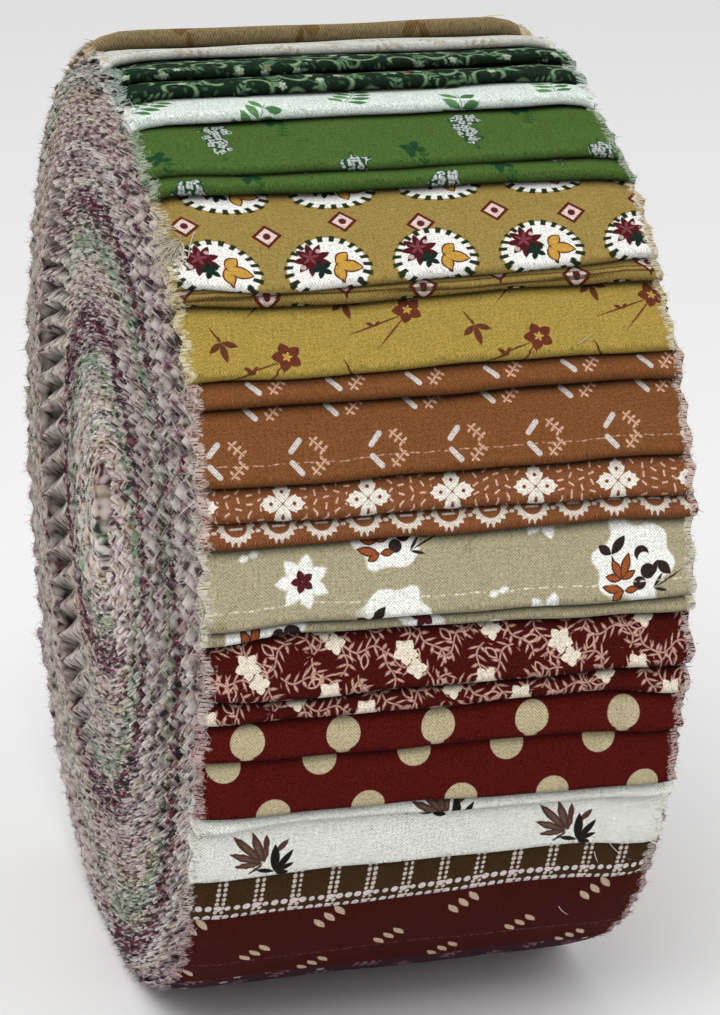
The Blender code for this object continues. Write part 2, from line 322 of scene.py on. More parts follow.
def yarn_marks(points, depth):
    """What lies on the round ends at some points, by how deep they are between the teeth.

    tint: how much dark, green and even-coloured yarn. hollow_shade: how much painted shade lies between the
    teeth; below zero near the core, where the yarn is made lighter.
    """
    angles = np.degrees(np.arctan2(-points[:, 1], points[:, 2] - AXIS_HEIGHT)) % 360.0
    radii = np.hypot(points[:, 1], points[:, 2] - AXIS_HEIGHT)
    away = np.full(len(points), 99.0)
    for turns in (-1, 0, 1):
        unwound = angles + 360.0 * turns
        offset = radii - np.interp(unwound, *zip(*DARK_SPIRAL))
        inside = (unwound >= DARK_SPIRAL[0][0]) & (unwound <= DARK_SPIRAL[-1][0])
        away = np.where(inside & (np.abs(offset) < np.abs(away)), offset, away)
    ridges = ridged(angles, radii)
    dark = np.exp(-((away / DARK_REACH) ** 2)) * (1.0 - 0.5 * ridges)
    green = np.exp(-(((away - GREEN_AWAY) / GREEN_REACH) ** 2)) * (1.0 - 0.8 * ridges)
    behind = np.exp(-(((angles - 265.0) / 70.0) ** 4)) * ramp(radii, RIDGE_RADIUS, 2.0)
    outer = ramp(radii, 32.0, 11.0) + 0.5 * ramp(radii, 44.0, 6.0)
    # Painted shade in the deep gaps between the teeth, on the ridges and the front, and lighter yarn near the
    # core.
    gaps = 1.2 * ridges * outer + 0.82 * fronted(angles) * ramp(radii, 28.0, 6.0)
    pale = soft_step((CORE_RADIUS - radii) / 8.0)
    hollow_shade = np.minimum(ramp(depth, 0.3, 1.3) * gaps, 1.0) - 0.25 * pale
    return {"tint": np.stack([dark, green, 0.9 * ridges + 0.55 * behind], 1), "hollow_shade": hollow_shade}


class Strip:
    """One folded strip: where it lies, and how its teeth fall along it."""

    def __init__(self, index):
        self.index = index
        self.print, *ends, self.puff, u, v = STRIPS[index - 1]
        self.fold = FOLDS[index - 1]
        self.fold_angles = np.array(ends) - self.fold
        self.design = np.array([shift_at(self.fold) + u, v])
        self.previous = FOLDS[index - 2] - (360.0 if index == 1 else 0.0)
        self.lap = (self.fold - self.previous) * DEG * ROLL_RADIUS
        self.shown = self.lap + VISIBLE_MARGIN
        random = np.random.default_rng(STRIP_SEED + index)
        angles = np.arange(self.fold, self.fold - 360.0 * RIM_TURNED / TURN, -ANGLE_STEP)
        inner = INNER_END + INNER_SPREAD * random.random()
        self.angles = angles[turned(index, angles) > inner]
        y, z = placed(index + SECOND_LAYER, self.angles)
        self.lengths = np.concatenate([[0.0], np.cumsum(np.hypot(np.diff(y), np.diff(z)))])
        self.length = self.lengths[-1]
        crossing = RIDGE_STRAIGHT + 360.0 * np.floor((self.fold - RIDGE_STRAIGHT) / 360.0)
        while layer_radius(index, crossing) > RIDGE_RADIUS:
            crossing -= 360.0
        self.start = np.interp(-crossing, -self.angles, self.lengths)
        drift = random.normal(0.0, 1.0, 8)
        self.offset = TOOTH_OFFSET * drift[0]
        self.slope = 1.0 + TOOTH_DRIFT * drift[1]
        self.waves = random.uniform(0.0, TURN, 8)
        self.wander = random.normal(0.0, 1.0, WANDER_KNOTS)

    def angle_at(self, length):
        return np.interp(length, self.lengths, self.angles)

    def phase(self, length):
        """Tooth count along the strip; the strips agree where the ridges show."""
        return (np.asarray(length) - self.start) / TOOTH_PITCH * self.slope + self.offset

    def lengths_between(self, first, last, parts):
        """Lengths at whole parts of a tooth between two lengths."""
        low = math.ceil(self.phase(first) * parts + 0.2)
        high = math.floor(self.phase(last) * parts - 0.2)
        return self.start + (np.arange(low, high + 1) / parts - self.offset) / self.slope * TOOTH_PITCH

    def shift(self, length):
        """How far the strip sits to the right, along its length."""
        own = np.interp(length, np.linspace(0.0, self.length, WANDER_KNOTS), self.wander)
        return shift_at(self.fold) * np.exp(-np.asarray(length) / SHIFT_FADE) + WANDER * own

    def tooth_depth(self, length):
        """Teeth stand sharp where the strip shows and where they line up as ridges, and are worn between."""
        angle = self.angle_at(length)
        radius = layer_radius(self.index, angle)
        deep = RIDGE_TOOTH[0] + (RIDGE_TOOTH[1] - RIDGE_TOOTH[0]) * ramp(radius, 34.0, 14.0)
        worn = WORN_TOOTH + FRONT_TOOTH * fronted(angle) + (deep - WORN_TOOTH) * ridged(angle, radius)
        return worn + (SHOWN_TOOTH - worn) * soft_step((self.shown + 8.0 - length) / 8.0)

    def edge(self, length, side, layer=0):
        """x of the pinked edge."""
        phase = self.phase(length)
        tooth = self.tooth_depth(length) * zigzag(phase)
        quick = np.sin(2.7 * phase + self.waves[0] + 2.0 * layer)
        slow = np.sin(0.83 * phase + self.waves[1] + side)
        return self.shift(length) + side * (HALF_WIDTH - tooth + RAGGED * quick * slow)

    def fold_shadow_distance(self, cloth, angle):
        """How far below the folded end of the strip above it a point lies, which sets the painted shadow
        there.
        """
        return (angle - self.previous - self.above.fold_angle(cloth)) * DEG * ROLL_RADIUS

    def fold_angle(self, across):
        """How far the folded end at some places across the strip lies past its mean angle."""
        place = np.clip(np.searchsorted(FOLD_X, across) - 1, 0, 2)
        share = soft_step((across - FOLD_X[place]) / (FOLD_X[place + 1] - FOLD_X[place]))
        found = self.fold_angles[place] + share * (self.fold_angles[place + 1] - self.fold_angles[place])
        ripple = 0.10 * np.sin(across / 5.1 + self.waves[2]) + 0.06 * np.sin(across / 2.3 + self.waves[3])
        return found + ripple

    def uneven(self, length, cloth):
        """How far a place near the fold lies past the strip's usual angle there."""
        return self.fold_angle(cloth) * np.clip(1.0 - length / FOLD_BLEND, 0.0, 1.0)

    def relief(self, across, length):
        """Soft waves and curled edges of the cloth that shows."""
        waves = self.waves
        slow = 0.14 * np.sin(across / 7.3 + waves[4]) * np.sin(length / 6.0 + waves[5])
        quick = 0.05 * np.sin(across / 3.1 + 0.5 * length + waves[6])
        rim = np.clip((np.abs(across) - 25.0) / 7.0, 0.0, 1.0) ** 2
        curl = rim * (0.18 + 0.22 * np.sin(0.7 * length + waves[7]) + 0.25 * np.sin(2.1 * length + waves[0]))
        belly = BELLY * np.sin(math.pi * np.clip(length / self.lap, 0.0, 1.0))
        return (slow + quick) * soft_step(length / 3.0 + 0.4) + curl + belly


def shown_ring(strip, length, depths, lifts, design_v, shade=CREASE_SHADE):
    """One ring of points round the strip where it shows: their places, places on the cloth and marks.

    Depths and lifts are those of the ring's outer and inner sides. Shade caps the distance below the fold
    above that is kept for the painted shadow; lower values paint it darker.
    """
    shift = strip.shift(length)
    left, right = (strip.edge(length, side) for side in (-1.0, 1.0))
    across = np.concatenate([[left], INNER_COLUMNS + shift, [right]])
    cloth = across - shift
    angle = strip.angle_at(length) if length >= NOSE else strip.fold - length / ROLL_RADIUS / DEG
    angle = angle + strip.uneven(length, cloth)
    relief = strip.relief(cloth, length)
    fall = shoulder(cloth)
    sides = []
    for depth, lift in zip(depths, lifts):
        raised = lift * opened_share(strip, cloth) if lift > 0.0 else lift
        sides.append(np.stack([across, *placed(strip.index + depth, angle, raised + relief, fall)], 1))
    uv = np.stack([cloth, np.full_like(cloth, design_v)], 1)
    rim = np.zeros(len(across))
    rim[0] = rim[-1] = 1.0
    fold_shadow_distance = np.minimum(strip.fold_shadow_distance(cloth, angle), shade)
    pairs = (sides, (uv, uv), (rim, rim), (fold_shadow_distance, fold_shadow_distance))
    return [np.concatenate([outer, inner[::-1]]) for outer, inner in pairs]


def bulb(strip, length):
    """How far the outer layer stands open near the fold."""
    run = BULB + BULB_GROWTH * max(strip.puff - BULB_USUAL, 0.0)
    return strip.puff * np.exp(-(np.maximum(length - 1.0, 0.0) / run) ** 2)


def opened_share(strip, cloth):
    """How much of the opening is left across the strip: a wide open fold closes towards its ends."""
    spare = max(strip.puff - BULB_USUAL, 0.0) / strip.puff
    return 1.0 - spare * shoulder(cloth)


def shown_part(strip):
    """Rings from the outer layer's buried part, round the fold, to the second layer's buried part."""
    rings = []
    spots = list(strip.lengths_between(2.6, strip.shown, 4))
    near = [length for length in (NOSE + 0.35, NOSE + 0.8, NOSE + 1.35) if length < spots[0] - 0.3]
    for length in sorted(near + spots, reverse=True):
        lift = bulb(strip, length)
        # Painted shade near this strip's own fold, darker the closer to the fold.
        shade = min(strip.lap, CREASE_SHADE * (0.5 + 0.6 * (length - NOSE)))
        rings.append(shown_ring(strip, length, LAYERS[0], (lift, lift), length, shade))
    outer_height = 0.5 * (STEP * (SECOND_LAYER + CLOTH) + strip.puff)
    inner_height = outer_height - CLOTH * STEP
    middle = 0.5 * (strip.puff - STEP * (SECOND_LAYER + CLOTH))
    inner_nose = NOSE - CLOTH * STEP
    for step in range(NOSE_STEPS + 1):
        share = step / NOSE_STEPS
        bulge = math.sin(math.pi * share)
        design_v = (0.5 - share) * math.pi * 0.5
        # Painted shade round the fold's nose, darkest at its underside.
        shade = 0.5 * CREASE_SHADE * (1.0 - share)
        heights = [middle + height * math.cos(math.pi * share) for height in (outer_height, inner_height)]
        ring, *marks = shown_ring(strip, NOSE * (1.0 - bulge), (0, 0), heights, design_v, shade)
        half = len(ring) // 2
        ring[half:] = shown_ring(strip, NOSE - inner_nose * bulge, (0, 0), heights, design_v)[0][half:]
        rings.append((ring, *marks))
    for length in (NOSE + 0.6, NOSE + 1.6):
        # The second layer's first rings lie in full painted shade under the fold.
        rings.append(shown_ring(strip, length, LAYERS[1], (0.0, 0.0), -length, 0.0))
    return rings


def buried_part(strip, first, layer):
    """Rings of four points along a buried layer, from the rim inwards."""
    fine_from = np.interp(-FINE_RADIUS, -layer_radius(strip.index, strip.angles), strip.lengths)
    coarse = strip.lengths_between(first, fine_from, 2)
    fine = strip.lengths_between(fine_from, strip.length, 4)
    lengths = np.concatenate([coarse, fine[fine > coarse[-1] + 0.5]])
    edges = [strip.edge(lengths, side, layer) for side in (-1.0, 1.0)]
    angles = strip.angle_at(lengths)
    faces = [placed(strip.index + depth, angles, 0.0, 1.0) for depth in LAYERS[layer]]
    shift = strip.shift(lengths)
    along = -lengths if layer else lengths
    corners = ((0, 0), (1, 0), (1, 1), (0, 1))
    rings = np.stack([np.stack([edges[edge], *faces[face]], 1) for edge, face in corners], 1)
    uvs = np.stack([np.stack([edges[edge] - shift, along], 1) for edge, _ in corners], 1)
    return [(ring, uv, np.ones(4), np.full(4, CREASE_SHADE)) for ring, uv in zip(rings, uvs)]


def bridge(wide, narrow, count):
    """Faces from a wide ring that starts at vertex wide to the four-point ring at narrow."""
    faces = []
    middle = count // 2
    for side in (0, 1):
        first = wide + side * count
        near, far = narrow + 2 * side, narrow + 2 * side + 1
        for step in range(count - 1):
            faces.append((first + step, first + step + 1, near if step < middle else far))
        faces.append((first + middle, far, near))
    faces.append((wide + count - 1, wide + count, narrow + 2, narrow + 1))
    faces.append((wide + 2 * count - 1, wide, narrow, narrow + 3))
    return faces


def tube(start, number, size):
    """Faces along a row of rings, of so many points each."""
    ring = np.arange(size)
    beside = (ring + 1) % size
    here = start + size * np.arange(number - 1)[:, None]
    there = here + size
    return np.stack([here + ring, there + ring, there + beside, here + beside], 2).reshape(-1, 4).tolist()


def strip_mesh(strip):
    """The strip's points, faces, places on the cloth and marks, from the inner end of its outer layer on."""
    outer = buried_part(strip, strip.shown + 0.6, 0)[::-1]
    shown = shown_part(strip)
    inner = buried_part(strip, NOSE + 2.4, 1)
    points, places, rims, fold_shadow_distances = map(np.concatenate, zip(*outer, *shown, *inner))
    size = len(shown[0][0])
    shown_start = 4 * len(outer)
    inner_start = shown_start + size * len(shown)
    faces = tube(0, len(outer), 4)
    faces += bridge(shown_start, shown_start - 4, size // 2)
    faces += tube(shown_start, len(shown), size)
    faces += [face[::-1] for face in bridge(inner_start - size, inner_start, size // 2)]
    faces += tube(inner_start, len(inner), 4)
    faces += [(0, 1, 2, 3), tuple(len(points) - corner for corner in (1, 2, 3, 4))]
    marks = yarn_marks(points, HALF_WIDTH - np.abs(places[:, 0]))
    return points, faces, places, {**marks, "rim": rims, "fold_shadow_distance": fold_shadow_distances}


def side_vectors(angles):
    """Unit vectors towards growing angle and away from the axis, in y and z."""
    turned_by = angles * DEG
    along = np.stack([-np.cos(turned_by), -np.sin(turned_by)], 1)
    out = np.stack([-np.sin(turned_by), np.cos(turned_by)], 1)
    return along, out


def thread_ways(random, angles, side, spreads, rise):
    """Directions of loose yarn ends: out of the cloth's edge, leaning along it and up or down."""
    lean = np.clip(random.normal(0.0, spreads[0], len(angles)), -STEEPEST_LEAN, STEEPEST_LEAN)
    lift = np.clip(random.normal(rise, spreads[1], len(angles)), -STEEPEST_RISE, STEEPEST_RISE)
    along, out = side_vectors(angles)
    flat = along * np.tan(lean)[:, None] + out * np.tan(lift)[:, None]
    ways = np.concatenate([side * np.ones((len(angles), 1)), flat], 1)
    return ways / np.linalg.norm(ways, axis=1)[:, None]


def frames_for(ways):
    """Two vectors square to each direction."""
    helper = np.where(np.abs(ways[:, 1:2]) < 0.8, [[0.0, 1.0, 0.0]], [[0.0, 0.0, 1.0]])
    first = np.cross(ways, helper)
    first /= np.linalg.norm(first, axis=1)[:, None]
    return first, np.cross(ways, first)


def hairs(roots, ways, lengths, thick, bends, segments):
    """Tapered yarn ends of three sides that curve by bends, a sideways vector for each."""
    first, second = frames_for(ways)
    rings = []
    for step in range(segments):
        share = step / segments
        middle = roots + ways * (lengths * share)[:, None] + bends * share**2
        narrow = (thick * (1.0 - HAIR_TAPER * share))[:, None]
        for corner in range(3):
            turn = TURN * corner / 3.0
            rings.append(middle + narrow * (first * math.cos(turn) + second * math.sin(turn)))
    rings.append(roots + ways * lengths[:, None] + bends)
    faces = [(0, 2, 1)]
    for step in range(segments):
        for corner in range(3):
            here = 3 * step + corner
            beside = 3 * step + (corner + 1) % 3
            if step < segments - 1:
                faces += [(here, beside, beside + 3), (here, beside + 3, here + 3)]
            else:
                faces.append((here, beside, 3 * segments))
    size = len(rings)
    numbers = np.arange(len(roots))
    faces = np.array(faces) + size * numbers[:, None, None]
    return np.stack(rings, 1).reshape(-1, 3), faces.reshape(-1, 3), np.repeat(numbers, size)


def shown_point(strip, length, across):
    """Points on the strip's outer face where it shows, and their angles."""
    cloth = across - strip.shift(length)
    angle = strip.angle_at(np.maximum(length, 0.0)) + strip.uneven(length, cloth)
    lift = bulb(strip, length) * opened_share(strip, cloth) + strip.relief(cloth, length)
    return np.stack([across, *placed(strip.index, angle, lift, shoulder(cloth))], 1), angle


def surface_hairs(strip, x, v, long, turn, bend, thick, segments):
    """Hairs that lie on the strip's outer face; the turn is up from the strip's right."""
    roots, angle = shown_point(strip, v, x)
    along, out = side_vectors(angle)
    turn = turn * DEG
    ways = np.concatenate([np.cos(turn)[:, None], -along * np.sin(turn)[:, None]], 1) * 0.985
    ways[:, 1:] += out * 0.17
    bends = np.concatenate([-np.sin(turn)[:, None], -along * np.cos(turn)[:, None]], 1) * bend[:, None]
    bends[:, 1:] -= out * (0.12 * long)[:, None]
    roots[:, 1:] += out * thick
    return hairs(roots, ways, long, np.full(len(long), thick), bends, segments)


def loose_threads(strip, random):
    """The long threads that start on this strip, and its tuft."""
    rows = np.array([row[1:] for row in LOOSE if row[0] == strip.index])
    made = [surface_hairs(strip, *rows.T, LOOSE_THICK, 7)] if len(rows) else []
    tuft_strip, middle_x, middle_v, number = TUFT
    if strip.index == tuft_strip:
        x = middle_x + random.normal(0.0, 0.7, number)
        v = middle_v + random.normal(0.0, 1.3, number)
        turn = 235.0 - 26.0 * (v - middle_v) + random.normal(0.0, 22.0, number)
        long = random.uniform(1.4, 3.2, number)
        made.append(surface_hairs(strip, x, v, long, turn, random.normal(0.0, 0.6, number), TUFT_THICK, 3))
    return made


def thread_mesh(strip):
    """Yarn ends along both edges: a fringe where the strip shows, short ends where it is wound in."""
    random = np.random.default_rng(THREAD_SEED + strip.index)
    groups = []

    def add(mesh, across, along, shift, shown):
        """Adds a group of yarn ends, with where in the yarn's colours each one starts."""
        groups.append((mesh, np.stack([np.full(len(along), across), along], 1), shift, shown))

    for side in (-1.0, 1.0):
        for layer in (0, 1):
            first = 1.0 if layer else strip.shown + 0.5
            number = int((strip.length - first) / BURIED_SPACING)
            length = np.sort(random.uniform(first, strip.length - 1.5, number))
            angle = strip.angle_at(length)
            ridge = ridged(angle, layer_radius(strip.index, angle))
            kept = random.random(number) > 0.8 * ridge
            length, angle, ridge = length[kept], angle[kept], ridge[kept]
            number = len(length)
            depth = layer * SECOND_LAYER + CLOTH * random.uniform(0.1, 0.9, number)
            across = strip.edge(length, side, layer) - side * random.uniform(0.0, 0.3, number)
            roots = np.stack([across, *placed(strip.index + depth, angle, 0.0, 1.0)], 1)
            ways = thread_ways(random, angle, side, BURIED_SPREADS, 0.0)
            long = random.uniform(*BURIED_LONG, number) * (1.0 - 0.5 * ridge)
            ends = hairs(roots, ways, long, random.uniform(*BURIED_THICK, number), 0.0, 1)
            add(ends, side * EDGE_YARN, -length if layer else length, strip.shift(length), 0.0)
        number = int(strip.shown / SHOWN_SPACING)
        length = np.sort(random.uniform(0.1, strip.shown, number))
        across = strip.edge(length, side) - side * random.uniform(-0.1, 1.3, number)
        roots, angle = shown_point(strip, length, across)
        roots[:, 1:] += side_vectors(angle)[1] * random.uniform(-0.12, 0.05, number)[:, None]
        ways = thread_ways(random, angle, side, SHOWN_SPREADS, SHOWN_RISE)
        long = random.uniform(*SHOWN_LONG, number) * random.choice([1.0, 1.0, 1.0, 1.5], number)
        long *= 1.0 if side < 0.0 else RIGHT_FRINGE
        bends = random.normal(0.0, SHOWN_BEND, (number, 3)) * long[:, None]
        fringe = hairs(roots, ways, long, random.uniform(*SHOWN_THICK, number), bends, 2)
        add(fringe, side * EDGE_YARN, length + SHOWN_YARN, strip.shift(length), 1.0)
    for threads in loose_threads(strip, random):
        number = threads[2][-1] + 1
        add(threads, LOOSE_YARN, np.arange(number) * 3.0, np.zeros(number), 1.0)
    rows = []
    start = 0
    for (points, faces, owner), seeds, shift, shown in groups:
        depth = HALF_WIDTH - np.abs(points[:, 0] - shift[owner])
        rows.append((points, faces + start, seeds[owner], depth, np.full(len(points), shown)))
        start += len(points)
    points, faces, places, depths, shown = map(np.concatenate, zip(*rows))
    points[:, 2] = np.maximum(points[:, 2], FLOOR_GAP)
    return points, faces.tolist(), places, {**yarn_marks(points, depths), "shown": shown}


def add_object(name, data):
    made = bpy.data.objects.new(name, data)
    bpy.context.scene.collection.objects.link(made)
    return made


def make_piece(name, mesh_data, material, offsets):
    """A mesh piece; offsets are what each of its UV maps adds to the places on the cloth."""
    points, faces, places, marks = mesh_data
    mesh = bpy.data.meshes.new(name)
    mesh.from_pydata((points * MM).tolist(), [], faces)
    mesh.materials.append(material)
    corners = np.empty(len(mesh.loops), dtype=np.int32)
    mesh.loops.foreach_get("vertex_index", corners)
    for title, offset in offsets.items():
        layer = mesh.uv_layers.new(name=title)
        layer.data.foreach_set("uv", (places + offset)[corners].astype(np.float32).ravel())
    for title, values in marks.items():
        single = values.ndim == 1
        mark = mesh.attributes.new(title, "FLOAT" if single else "FLOAT_VECTOR", "POINT")
        mark.data.foreach_set("value" if single else "vector", values.astype(np.float32).ravel())
    mesh.update()
    mesh.shade_smooth()
    mesh.set_sharp_from_angle(angle=SHARP_ANGLE)
    return add_object(name, mesh)


def tone(code):
    """The colour that a six-digit screen colour names, for a shader."""
    channels = [int(code[place:place + 2], 16) / 255.0 for place in (0, 2, 4)]
    return (*(((c + 0.055) / 1.055) ** 2.4 if c > 0.04045 else c / 12.92 for c in channels), 1.0)


def add_node(tree, kind, inputs, **settings):
    """A shader node whose inputs are given numbers and colours, or linked to other nodes."""
    node = tree.nodes.new("ShaderNode" + kind)
    for title, value in settings.items():
        setattr(node, title, value)
    for title, term in inputs.items():
        if isinstance(term, Value):
            term = term.socket
        if isinstance(term, bpy.types.NodeSocket):
            tree.links.new(term, node.inputs[title])
        else:
            node.inputs[title].default_value = term
    return node


def worked(operation):
    """A method that works out one operation with a maths node."""
    return lambda value, *others: value.math(operation, *others)


class Value:
    """A number that varies over the cloth, on which sums build shader nodes."""

    def __init__(self, tree, socket):
        self.tree = tree
        self.socket = socket

    def math(self, operation, *others, first=None, clamp=False):
        terms = (self, *others) if first is None else (first, self)
        node = add_node(self.tree, "Math", dict(enumerate(terms)), operation=operation, use_clamp=clamp)
        return Value(self.tree, node.outputs[0])

    def __rsub__(self, other):
        return self.math("SUBTRACT", first=other)

    def clamped(self):
        return self.math("ADD", 0.0, clamp=True)

    __add__ = __radd__ = worked("ADD")
    __sub__ = worked("SUBTRACT")
    __mul__ = __rmul__ = worked("MULTIPLY")
    __truediv__ = worked("DIVIDE")
    __abs__ = worked("ABSOLUTE")
    floor = worked("FLOOR")
    fraction = worked("FRACT")
    sine = worked("SINE")
    cosine = worked("COSINE")
    least = worked("MINIMUM")
    most = worked("MAXIMUM")


EDGE_SOFTNESS = 0.12


def shape(inside, soft=EDGE_SOFTNESS):
    """0 to 1 over a soft outline; inside is how far a point lies within it."""
    return inside.math("MULTIPLY_ADD", 1.0 / soft, 0.5, clamp=True)


def reach(p, q):
    return (p * p + q * q).math("SQRT")


def spun(p, q, angle):
    """Coordinates turned by an angle, which may vary."""
    varies = isinstance(angle, Value)
    c = angle.cosine() if varies else math.cos(angle)
    s = angle.sine() if varies else math.sin(angle)
    return p * c + q * s, q * c - p * s


def cells(u, v, wide, high, drop=0.5):
    """Place within each cell of a layout, and its column and row; each column drops by a share of a cell."""
    column = (u / wide).floor()
    across = u - column * wide - 0.5 * wide
    raised = v / high + column * drop
    row = raised.floor()
    return across, (raised - row - 0.5) * high, column, row


def toss(column, row, seed):
    """A random number from 0 to 1 for each cell."""
    return abs(((column * 12.9898 + row * 78.233 + seed).sine() * 43.7585).fraction())


def leaf(along, across, start, long, half):
    """How far a point lies within a leaf with its length, its half width and where it starts."""
    share = (along - start) / long
    return share * (1.0 - share) * (4.0 * half) - abs(across)


def rays(p, q, number, spin):
    """Place along and across the nearest of some rays from a middle, and the angle from it."""
    sector = TURN / number
    away = (((q.math("ARCTAN2", p) + (spin + TURN)) / sector).fraction() - 0.5) * sector
    radius = reach(p, q)
    return radius * away.cosine(), radius * away.sine(), away


def bloom(p, q, petals, long, half, spin=0.0):
    """Petals round a middle."""
    along, across, _ = rays(p, q, petals, spin)
    return leaf(along, across, 0.0, long, half)


def dot(p, q, radius):
    return radius - reach(p, q)


def bar(p, q, half_long, half):
    return half - reach((abs(p) - half_long).most(0.0), q)


def sprig(p, q, long, step, lean, leaf_long, leaf_half, stem=0.1):
    """A straight stem along q with leaves in pairs."""
    s = ((q / step).fraction()) * step
    x = abs(p)
    along = x * math.cos(lean) + s * math.sin(lean)
    across = s * math.cos(lean) - x * math.sin(lean)
    leaves = leaf(along, across, 0.05, leaf_long, leaf_half).most(stem - x)
    return leaves.least(0.5 * long - abs(q))


def frond(p, q, angle, long, half):
    return leaf(*spun(p, q, angle), 0.0, long, half)


def fronds(p, q, rows):
    """Leaves from one point, by rows of angle, length and half width."""
    leaves = frond(p, q, *rows[0])
    for row in rows[1:]:
        leaves = leaves.most(frond(p, q, *row))
    return leaves


def at(u, v, wide, high, x, y, turn=0.0, drop=0.5):
    """Place round the nearest motif of a half-drop layout that has one at x, y."""
    p, q, _, _ = cells(u - (x - 0.5 * wide), v - (y - 0.5 * high), wide, high, drop)
    return spun(p, q, turn)


def at_random(u, v, wide, high, seed):
    """Place in each cell, turned at random, and the cell's random number."""
    p, q, column, row = cells(u, v, wide, high)
    lot = toss(column, row, seed)
    return (*spun(p, q, lot * TURN), lot)


def wobble(u, v, size):
    """What makes an outline uneven."""
    return ((u * 1.9 + v * 0.7).sine() + (v * 2.3 - u * 0.6).sine()) * size


def crease_line(draw, u, v, place, code, share, half=0.07):
    """A worn line along an old fold, broken in places."""
    away = abs(v - place + ((u * 1.9).sine() - (u * 0.6).sine()) * 0.05)
    broken = ((u * 2.9).sine() + (u * 7.1).sine() + 1.1) * 0.5
    draw(code, half - away, 0.1, share=broken * share)


class Paint:
    """Layers of colour over the cloth."""

    def __init__(self, tree, colour):
        self.tree = tree
        self.colour = colour

    def put(self, share, colour, mode="MIX"):
        """Lay a share of a colour over what is there."""
        inputs = {0: share, 6: self.colour, 7: colour}
        node = add_node(self.tree, "Mix", inputs, data_type="RGBA", blend_type=mode, clamp_factor=True)
        self.colour = node.outputs[2]

    def draw(self, code, inside, soft=EDGE_SOFTNESS, share=None):
        """Lay a screen colour, or a share of it, over a shape."""
        covered = shape(inside, soft)
        self.put(covered if share is None else covered * share, tone(code))


def paint_rose(draw, u, v):
    p, q, _ = at_random(u, v, 6.4, 6.8, 1.0)
    draw("6F7A55", bloom(p - 1.4, q, 3, 1.9, 0.3))
    draw("E3CFC4", bloom(p, q, 5, 1.6, 0.52))
    draw("A0705A", dot(p, q, 0.35))


def paint_sage(draw, u, v):
    p, q, _, _ = cells(u, v, 5.6, 9.0)
    bend = p - (v * 0.7).sine() * 0.7
    draw("5F6E4E", sprig(bend, q, 8.4, 1.9, 0.7, 1.9, 0.34))
    p, q, _, _ = cells(u + 2.8, v + 1.0, 5.6, 4.5)
    draw("E2DFC9", bloom(p, q, 5, 0.8, 0.28))


def paint_oat(draw, u, v):
    p, q, _ = at_random(u, v, 7.2, 7.6, 3.0)
    draw("8A6F4A", sprig(p, q, 4.2, 1.4, 0.75, 1.4, 0.26))
    draw("9C4F3A", dot(p, q - 2.3, 0.45))


def paint_tan(draw, u, v):
    p, q, _ = at_random(u, v, 8.2, 7.0, 4.0)
    draw("8A6C42", bloom(p, q, 3, 2.4, 0.55, 0.4))
    draw("7C5A38", bar(p, q + 1.6, 0.1, 0.12).most(leaf(q * -1.0, p, 0.4, 2.8, 0.2)))


def paint_white_motif(draw, u, v):
    p, q, _ = at_random(u, v, 6.6, 5.6, 5.0)
    draw("B4AB98", sprig(p, q, 4.0, 1.3, 0.6, 1.6, 0.3))
    draw("C3B7A4", bloom(p, q - 1.9, 5, 0.9, 0.3))


def paint_dark_green(draw, u, v):
    p, q, lot = at_random(u, v, 1.3, 1.1, 2.0)
    draw("4F7350", bar(p, q, 0.2, 0.14).least((lot - 0.6) * 2.0), 0.3, share=0.6)
    p, q, lot = at_random(u, v, 5.2, 5.6, 6.0)
    ring = (0.17 - abs(reach(p, q * 0.72) - 1.55)).least(p + 0.9)
    hook = (0.14 - abs(reach(p - 1.5, q + 2.0) - 0.9)).least(p - 1.0)
    draw("84A27C", ring.most(hook), 0.3)
    draw("A87A50", dot(p + 1.6, q - 1.5, 0.42).least((lot - 0.55) * 4.0), 0.3)
    p, q, _ = at_random(u + 2.7, v + 1.1, 5.2, 5.6, 6.5)
    draw("6F9470", sprig(p, q, 3.4, 0.85, 0.75, 1.1, 0.17, 0.08), 0.26)
    draw("B9C6AE", bloom(p - 0.4, q + 1.9, 5, 0.62, 0.2), 0.24)


def paint_white_sprig(draw, u, v):
    p, q = at(u, v, 13.52, 9.0, -28.1, 4.4)
    p, q = spun(p, q, u * 0.018 - 0.4)
    leaves = sprig(p + q * q * 0.06, q, 5.6, 1.55, 0.42, 2.7, 0.6, 0.06)
    draw("5F8C58", leaves)
    draw("335E3A", (leaves - 0.16).least(p), 0.2, share=0.6)
    p, q = at(u, v, 13.52, 9.0, -21.3, 4.4, 0.7)
    draw("9DB294", fronds(p, q, ((0.3, 1.2, 0.2), (1.6, 1.5, 0.24), (2.9, 1.1, 0.2))), share=0.35)


def paint_green(draw, u, v):
    p, q = at(u, v, 16.4, 17.0, -29.1, 3.0, 0.4)
    blotch = bloom(p, q, 4, 1.8, 0.62).most(dot(p, q, 0.7)) + wobble(u * 2.0, v * 2.0, 0.12)
    draw("1D4428", blotch, 0.25)
    p, q = at(u, v, 16.4, 17.0, -28.3, 0.4, -0.25)
    draw("275224", sprig(p, q, 3.6, 0.9, 0.7, 0.85, 0.19, 0.12), 0.2)
    p, q = at(u, v, 16.4, 17.0, -21.2, 7.0, 0.15)
    bunch = (1.75 - reach(p - 0.9, (q - 2.2) * 1.15)).most(1.45 - reach((p + 0.1) * 1.25, (q + 1.1) * 0.56))
    bunch = bunch + wobble(u * 1.6, v * 1.4, 0.3)
    draw("24482A", bunch + 0.2, 0.3)
    p, q, column, row = cells(u, v, 1.12, 1.0)
    p = p + (toss(column, row, 8.0) - 0.5) * 0.5
    q = q + (toss(column, row, 8.5) - 0.5) * 0.4
    p, q = spun(p, q, toss(column, row, 9.0) * TURN)
    bud = bloom(p, q, 4, 0.62, 0.24).most(dot(p, q, 0.2))
    draw("B9C1BC", bud.least(bunch), 0.16)
    draw("6A6474", dot(p - 0.08, q, 0.16).least(bunch), 0.2)


